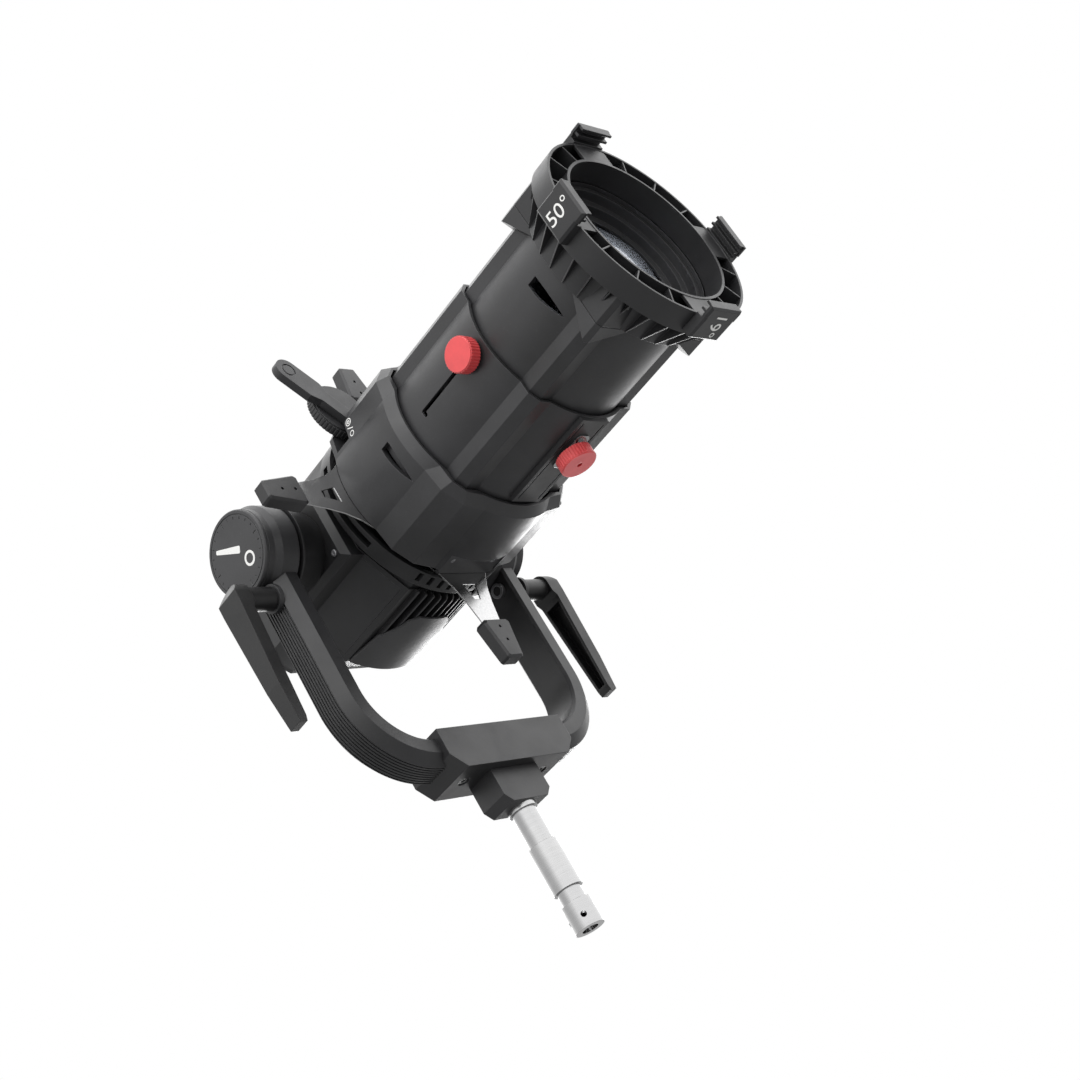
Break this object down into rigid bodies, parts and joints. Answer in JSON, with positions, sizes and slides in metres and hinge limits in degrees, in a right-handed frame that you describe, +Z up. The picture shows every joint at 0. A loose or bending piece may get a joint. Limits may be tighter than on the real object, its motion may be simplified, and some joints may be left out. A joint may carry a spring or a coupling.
{
  "type": "ellipsoidal spotlight",
  "caption": "Black ellipsoidal stage spotlight with a long lens barrel, framing shutters, tilt yoke, locking levers and a stand pin.",
  "frame": {"origin": "lower end of the stand pin, on its axis", "axes": "+Z up along the stand pin, +X along the tilt axis to the right arm, the beam leaves along -Y at rest"},
  "size_m": [0.429, 0.5904, 0.5943],
  "materials": {
    "yoke_black": "black anodised satin",
    "black_plastic": "fine grained matt black",
    "lever_black": "satin black glass-filled nylon",
    "bright_steel": "bright turned steel",
    "bronze": "sintered bronze",
    "nut_steel": "blackened steel",
    "black_metal": "black anodised satin",
    "dark_panel": "matt black",
    "heat_sink_aluminium": "plain extruded",
    "led_yellow": "phosphor yellow",
    "lens_glass": "clear polished",
    "barrel_black": "black anodised satin casting",
    "slip_plastic": "low friction liner",
    "blade_steel": "polished stainless sheet",
    "grip_plastic": "fine textured black",
    "hood_plastic": "satin black moulded",
    "red_anodised": "satin red anodised"
  },
  "bodies": {
    "yoke": {"yoke_band": "yoke_black", "base_clamp": "yoke_black", "clamp_screws": "bright_steel", "stem_block": "yoke_black", "stand_pin": "bright_steel", "hub_drums": "black_plastic", "hub_bushes": "bronze", "hub_caps": "black_plastic", "lever_collars": "black_plastic", "lever_nuts": "nut_steel"},
    "head": {"trunnions": "black_metal", "trunnion_blocks": "black_metal", "lamp_shell": "black_metal", "lamp_front": "black_metal", "side_panels": "dark_panel", "bottom_cover": "black_plastic", "top_cover": "black_plastic", "heat_sink": "heat_sink_aluminium", "led_module": "led_yellow", "condenser_lens": "lens_glass", "condenser_seat": "black_metal", "fan_frame": "dark_panel", "rear_louvres": "black_metal", "rear_cover": "black_plastic", "power_inlet": "dark_panel", "neck_ring": "black_metal", "gate_plate": "black_metal", "gate_spacer": "black_metal", "gate_housing": "barrel_black", "gate_core": "black_metal", "gate_covers": "barrel_black", "wheel_carrier": "barrel_black", "middle_sleeve": "barrel_black", "glide_rings": "slip_plastic", "rail_plate": "dark_panel", "lock_plate": "bright_steel"},
    "lever_l": {"lever_left": "lever_black"},
    "lever_r": {"lever_right": "lever_black"},
    "fan": {"fan_rotor": "dark_panel"},
    "dial": {"control_knob": "black_plastic"},
    "shutter_t": {"shutter_top": "blade_steel", "grip_top": "grip_plastic"},
    "shutter_b": {"shutter_bottom": "blade_steel", "grip_bottom": "grip_plastic"},
    "shutter_l": {"shutter_left": "blade_steel", "grip_left": "grip_plastic"},
    "shutter_r": {"shutter_right": "blade_steel", "grip_right": "grip_plastic"},
    "iris": {"iris_lever": "grip_plastic"},
    "wheel": {"gobo_wheel": "grip_plastic"},
    "gobo": {"gobo_ring": "black_metal"},
    "barrel": {"front_tube": "barrel_black", "front_flange": "hood_plastic", "accessory_ring": "hood_plastic", "lens_hood": "hood_plastic", "front_lens": "lens_glass", "lens_retainer": "black_metal", "accessory_clips": "hood_plastic"},
    "knob_side": {"side_knob": "red_anodised"},
    "knob_belly": {"belly_knob": "red_anodised"}
  },
  "joints": [
    {"name": "tilt", "type": "hinge", "parent": "yoke", "child": "head", "pos_m": [0, 0, 0.4258], "axis": [-1, 0, 0], "range_deg": [-50, 120]},
    {"name": "lock_left", "type": "hinge", "parent": "yoke", "child": "lever_l", "pos_m": [-0.15, -0.005, 0.37], "axis": [-1, 0, 0], "range_deg": [-60, 25]},
    {"name": "lock_right", "type": "hinge", "parent": "yoke", "child": "lever_r", "pos_m": [0.15, -0.005, 0.37], "axis": [-1, 0, 0], "range_deg": [-60, 25]},
    {"name": "fan_spin", "type": "hinge", "parent": "head", "child": "fan", "pos_m": [0, 0.084, 0.4258], "axis": [0, 1, 0], "continuous": true},
    {"name": "dimmer", "type": "hinge", "parent": "head", "child": "dial", "pos_m": [0.034, 0.13, 0.4058], "axis": [0, 1, 0], "continuous": true},
    {"name": "blade_top", "type": "slide", "parent": "head", "child": "shutter_t", "axis": [0, 0, 1], "range_m": [-0.019, 0.025]},
    {"name": "blade_bottom", "type": "slide", "parent": "head", "child": "shutter_b", "axis": [0, 0, -1], "range_m": [-0.04, 0.007]},
    {"name": "blade_left", "type": "slide", "parent": "head", "child": "shutter_l", "axis": [-1, 0, 0], "range_m": [-0.038, 0.007]},
    {"name": "blade_right", "type": "slide", "parent": "head", "child": "shutter_r", "axis": [1, 0, 0], "range_m": [-0.038, 0.007]},
    {"name": "iris_turn", "type": "hinge", "parent": "head", "child": "iris", "pos_m": [0, -0.106, 0.4258], "axis": [0, -1, 0], "range_deg": [-14, 14]},
    {"name": "gobo_turn", "type": "hinge", "parent": "head", "child": "gobo", "pos_m": [0, -0.0965, 0.4258], "axis": [0, -1, 0], "continuous": true},
    {"name": "wheel_turn", "type": "hinge", "parent": "head", "child": "wheel", "pos_m": [-0.06263, -0.0965, 0.51865], "axis": [0, -1, 0], "continuous": true},
    {"name": "focus", "type": "slide", "parent": "head", "child": "barrel", "axis": [0, 1, 0], "range_m": [0, 0.07]},
    {"name": "side_lock", "type": "hinge", "parent": "barrel", "child": "knob_side", "pos_m": [-0.094, -0.2692, 0.4258], "axis": [-1, 0, 0], "range_deg": [0, 180]},
    {"name": "belly_lock", "type": "hinge", "parent": "head", "child": "knob_belly", "pos_m": [0, -0.2504, 0.3268], "axis": [0, 0, -1], "range_deg": [0, 180]}
  ],
  "couplings": [
    {"joint": "wheel_turn", "follows": "gobo_turn", "ratio": -2.6032}
  ]
}
